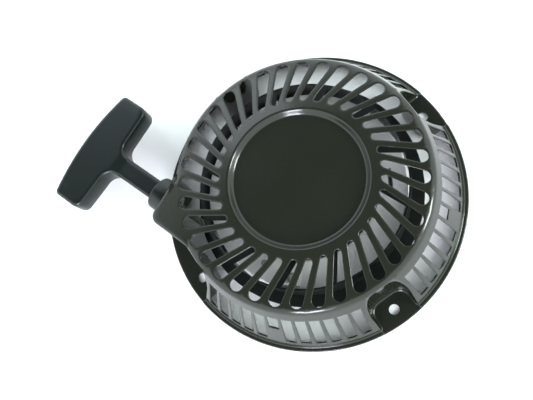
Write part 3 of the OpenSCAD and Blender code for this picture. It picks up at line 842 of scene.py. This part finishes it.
cord = Paint("braided_cord")
cord.place = cord.nodes["Texture Coordinate"].outputs["UV"]
parts = cord.node("ShaderNodeSeparateXYZ", {"Vector": cord.place})
plaits = []
for sign in (1, -1):
    lay = cord.node("ShaderNodeMath", {0: parts.outputs["Y"], 1: 6.0 * sign}, operation="MULTIPLY")
    phase = cord.node("ShaderNodeMath", {0: parts.outputs["X"], 1: 4.0, 2: lay.outputs[0]},
                      operation="MULTIPLY_ADD")
    turns = cord.node("ShaderNodeMath", {0: phase.outputs[0], 1: 2 * np.pi}, operation="MULTIPLY")
    plaits.append(cord.node("ShaderNodeMath", {0: turns.outputs[0]}, operation="SINE").outputs[0])
plait = cord.node("ShaderNodeMath", {0: plaits[0], 1: plaits[1]}, operation="MAXIMUM").outputs[0]
fleck = cord.ramp(plaits[0], 0.86, 0.94, 0.0, 1.0)
grime = cord.node("ShaderNodeTexNoise", {"Vector": cord.place, "Scale": 1.3, "Detail": 4.0}).outputs["Fac"]
worn = cord.blend(cord.ramp(grime, 0.4, 0.7, 0.0, 1.0), (0.34, 0.34, 0.31, 1), (0.24, 0.235, 0.21, 1))
cord.set(Base_Color=cord.blend(fleck, worn, (0.02, 0.022, 0.025, 1)), Roughness=0.85, Specular_IOR_Level=0.3)
cord.bump(plait, 0.0003, 0.8)
dress(cord.material, *ropes)


def metal_finish(name, light, dark, rough, grain, streak=(1, 1, 1), bump=0.00002):
    """A plated or bare metal: cloudy tint, roughness that follows it, and fine stretched scratches."""
    finish = Paint(name)
    cloud = finish.noise(70.0, 5.0, 0.6)
    place = finish.node("ShaderNodeMapping", {"Vector": finish.place, "Scale": streak}).outputs[0]
    scratch = finish.noise(grain, 3.0, 0.6, place)
    mixed = finish.blend(finish.ramp(cloud, 0.35, 0.65, 0.0, 1.0), dark + (1,), light + (1,))
    fine = finish.ramp(scratch, 0.35, 0.65, rough - 0.07, rough + 0.07)
    finish.set(Base_Color=mixed, Roughness=fine, Metallic=1.0)
    finish.bump(scratch, bump, 0.5)
    return finish.material


zinc = metal_finish("zinc_plate", (0.66, 0.67, 0.68), (0.50, 0.51, 0.53), 0.34, 900.0)
dress(zinc, *[nodes[n] for n in ("rope_eyelet", "spring_cup", "spring_cover", "cup_rivets", "thrust_washer",
                                 "drive_plate", "handle_washer")])
yellow = metal_finish("yellow_zinc_plate", (0.70, 0.62, 0.42), (0.52, 0.50, 0.40), 0.30, 1200.0)
dress(yellow, *[nodes[n] for n in ("centre_screw", "pawl_a", "pawl_b")])
turned_steel = metal_finish("turned_steel", (0.56, 0.56, 0.57), (0.44, 0.44, 0.45), 0.28, 500.0, (1, 1, 14))
dress(turned_steel, nodes["centre_post"], nodes["pawl_pins"])
blued = metal_finish("blued_spring_steel", (0.16, 0.20, 0.28), (0.24, 0.20, 0.20), 0.30, 700.0, (1, 1, 0.1))
dress(blued, *[nodes[n] for n in ("mainspring", "brake_spring", "pawl_springs")])
bronze = metal_finish("sintered_bronze", (0.58, 0.43, 0.22), (0.38, 0.28, 0.15), 0.48, 2600.0, bump=0.00006)
dress(bronze, nodes["pulley_bush"])

satin = Paint("satin_shroud_paint")
haze = satin.noise(36.0, 4.0)
peel = satin.noise(900.0, 2.0)
satin.set(
    Base_Color=satin.blend(haze, (0.004, 0.0065, 0.0055, 1), (0.007, 0.010, 0.0085, 1)),
    Roughness=satin.ramp(haze, 0.3, 0.7, 0.28, 0.38),
    Specular_IOR_Level=0.35,
)
satin.bump(peel, 0.00005, 0.6)
dress(satin.material, nodes["inner_shroud"])

nylon = Paint("moulded_nylon")
flow = nylon.noise(22.0, 5.0, 0.6)
fine = nylon.noise(1300.0, 2.0)
nylon.set(
    Base_Color=nylon.blend(flow, (0.84, 0.84, 0.82, 1), (0.91, 0.91, 0.89, 1)),
    Roughness=nylon.ramp(flow, 0.3, 0.7, 0.38, 0.52),
    Specular_IOR_Level=0.45,
)
nylon.bump(fine, 0.00004, 0.5)
dress(nylon.material, nodes["pulley"])

twine = Paint("cord_end")
weave = twine.noise(1500.0, 4.0, 0.7)
strands = twine.ramp(weave, 0.4, 0.6, 0.0, 1.0)
twine.set(
    Base_Color=twine.blend(strands, (0.18, 0.18, 0.165, 1), (0.36, 0.36, 0.33, 1)),
    Roughness=0.88,
    Specular_IOR_Level=0.3,
)
twine.bump(weave, 0.0003, 0.8)
dress(twine.material, nodes["rope_knot"])

# Floor and light: a wide pale sheet under the flange and a room that is bright low down and dim overhead,
# so that the floor stays bright while the gloss paint looks up into the dark. Three soft boxes add shine.
floor_mesh = bpy.data.meshes.new("floor")
FLOOR_HALF, FLOOR_Z = 3.0, -0.0002
corners = [(x * FLOOR_HALF, y * FLOOR_HALF, FLOOR_Z) for x, y in ((-1, -1), (1, -1), (1, 1), (-1, 1))]
floor_mesh.from_pydata(corners, [], [(0, 1, 2, 3)])
floor = bpy.data.objects.new("floor", floor_mesh)
bpy.context.scene.collection.objects.link(floor)
floor_paint = Paint("pale_floor")
floor_paint.set(Base_Color=(0.98, 0.98, 0.98, 1), Roughness=0.9)
floor_mesh.materials.append(floor_paint.material)

world = bpy.data.worlds.new("room")
world.use_nodes = True
sky = world.node_tree
background = sky.nodes["Background"]
background.inputs["Color"].default_value = (0.90, 0.98, 1.0, 1)
aim = sky.nodes.new("ShaderNodeTexCoord")
split = sky.nodes.new("ShaderNodeSeparateXYZ")
band = sky.nodes.new("ShaderNodeMapRange")
band.interpolation_type = "SMOOTHSTEP"
for key, value in (("From Min", 0.60), ("From Max", 0.80), ("To Min", 3.0), ("To Max", 0.34)):
    band.inputs[key].default_value = value
sky.links.new(aim.outputs["Generated"], split.inputs[0])
sky.links.new(split.outputs["Z"], band.inputs["Value"])
sky.links.new(band.outputs["Result"], background.inputs["Strength"])
bpy.context.scene.world = world
bpy.context.scene.view_settings.view_transform = "Standard"


def soft_box(name, azimuth, elevation, distance, size, radiance, colour=(1, 1, 1)):
    """A square area light at a place on a sphere round the starter, facing it, by its radiance."""
    a, e = np.radians((azimuth, elevation))
    place = Vector((np.cos(a) * np.cos(e), np.sin(a) * np.cos(e), np.sin(e))) * distance
    data = bpy.data.lights.new(name, "AREA")
    data.shape = "SQUARE"
    data.size = size
    data.energy = radiance * np.pi * size * size
    data.color = colour
    lamp = bpy.data.objects.new(name, data)
    lamp.location = place
    lamp.rotation_euler = (-place).to_track_quat("-Z", "Y").to_euler()
    bpy.context.scene.collection.objects.link(lamp)


soft_box("window_light", 160, 45, 1.6, 0.7, 2.6, (0.80, 0.90, 1.0))
soft_box("side_light", 300, 20, 1.6, 0.45, 42.0, (0.90, 0.88, 1.0))
soft_box("back_light", 30, 22, 1.6, 0.45, 42.0, (0.88, 1.0, 0.96))
